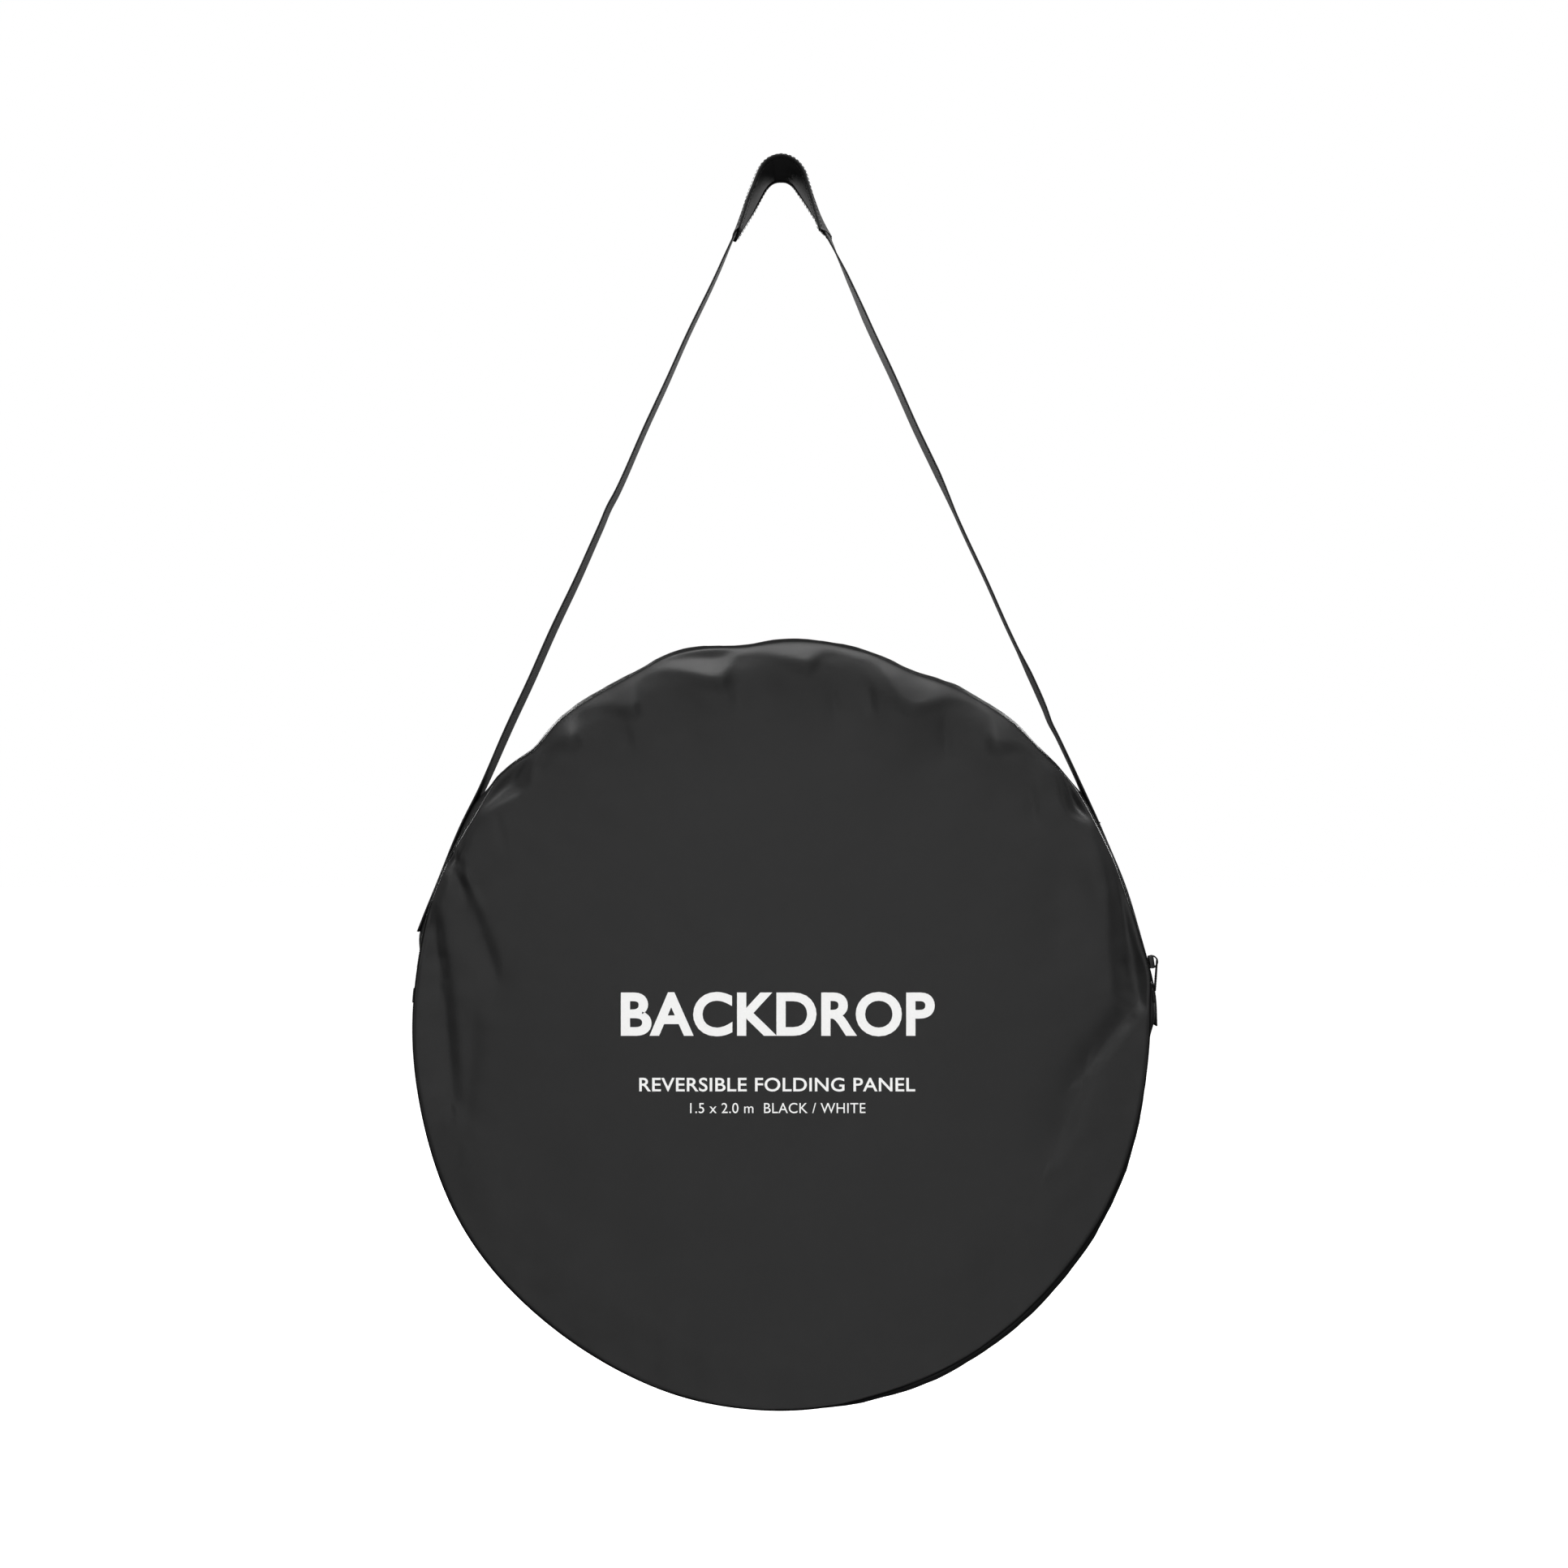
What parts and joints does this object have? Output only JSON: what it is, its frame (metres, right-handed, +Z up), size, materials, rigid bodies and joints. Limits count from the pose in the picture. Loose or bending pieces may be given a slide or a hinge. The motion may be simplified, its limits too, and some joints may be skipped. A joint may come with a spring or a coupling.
{
  "type": "collapsible backdrop panel in its carry bag",
  "caption": "Sprung-hoop reversible backdrop panel twisted down to a flat coil in a round zipped bag with a padded shoulder strap.",
  "frame": {"origin": "hang point: the underside of the shoulder pad at the top of the strap's loop", "axes": "+Z up, +Y from the printed front face to the rear face, +X to the right of someone facing the print"},
  "size_m": [0.6995, 0.07, 1.1555],
  "materials": {
    "bag_cloth": "matte",
    "webbing": "matte",
    "binding": "matte",
    "lining": "matte",
    "foam": "matte",
    "thread": "matte",
    "zip_tape": "matte",
    "zip_coil": "satin",
    "zip_metal": "satin",
    "spring_steel": "satin",
    "ferrule_metal": "satin",
    "black_sheet": "matte",
    "white_sheet": "matte",
    "label": "matte",
    "ink": "matte"
  },
  "bodies": {
    "strap": {"strap_webbing": "webbing", "pad_lining": "lining", "pad_foam": "foam", "pad_cover": "lining", "pad_stitching": "thread"},
    "bag": {"rear_panel": "bag_cloth", "front_panel_lower": "bag_cloth", "lower_gusset": "bag_cloth", "rear_gusset_strip": "bag_cloth", "rear_piping": "binding", "front_piping_lower": "binding", "rear_zip_tape": "zip_tape", "rear_zip_coil": "zip_coil", "zip_end_tabs": "webbing", "strap_tail_left": "webbing", "strap_tail_right": "webbing", "strap_flex_left": "webbing", "strap_flex_right": "webbing", "anchor_stitching": "thread", "anchor_patches": "binding", "hoop_band": "spring_steel", "hoop_ferrule": "ferrule_metal", "hoop_sleeve": "black_sheet", "black_cloth": "black_sheet", "white_cloth": "white_sheet", "care_label": "label", "front_print": "ink"},
    "mouth_flap": {"front_panel_upper": "bag_cloth", "front_gusset_strip": "bag_cloth", "front_zip_tape": "zip_tape", "front_zip_coil": "zip_coil", "front_piping_upper": "binding"},
    "zip_slider": {"zip_slider": "zip_metal"},
    "pull_tab": {"pull_tab": "zip_metal"}
  },
  "joints": [
    {"name": "bag_swing", "type": "hinge", "parent": "strap", "child": "bag", "pos_m": [0, 0, -0.58475], "axis": [1, 0, 0], "range_deg": [-90, 90], "deforming": ["strap_flex_left", "strap_flex_right"]},
    {"name": "zip_travel", "type": "hinge", "parent": "bag", "child": "zip_slider", "pos_m": [0, 0, -0.799], "axis": [0, -1, 0], "range_deg": [0, 160.8]},
    {"name": "mouth_open", "type": "hinge", "parent": "bag", "child": "mouth_flap", "pos_m": [0, -0.0335, -0.757], "axis": [1, 0, 0], "range_deg": [0, 93]},
    {"name": "pull_swing", "type": "hinge", "parent": "zip_slider", "child": "pull_tab", "pos_m": [0.34681, -0.024, -0.74054], "axis": [0, -1, 0], "range_deg": [0, 160]}
  ],
  "couplings": [
    {"joint": "mouth_open", "follows": "zip_travel", "ratio": 0.5721}
  ]
}
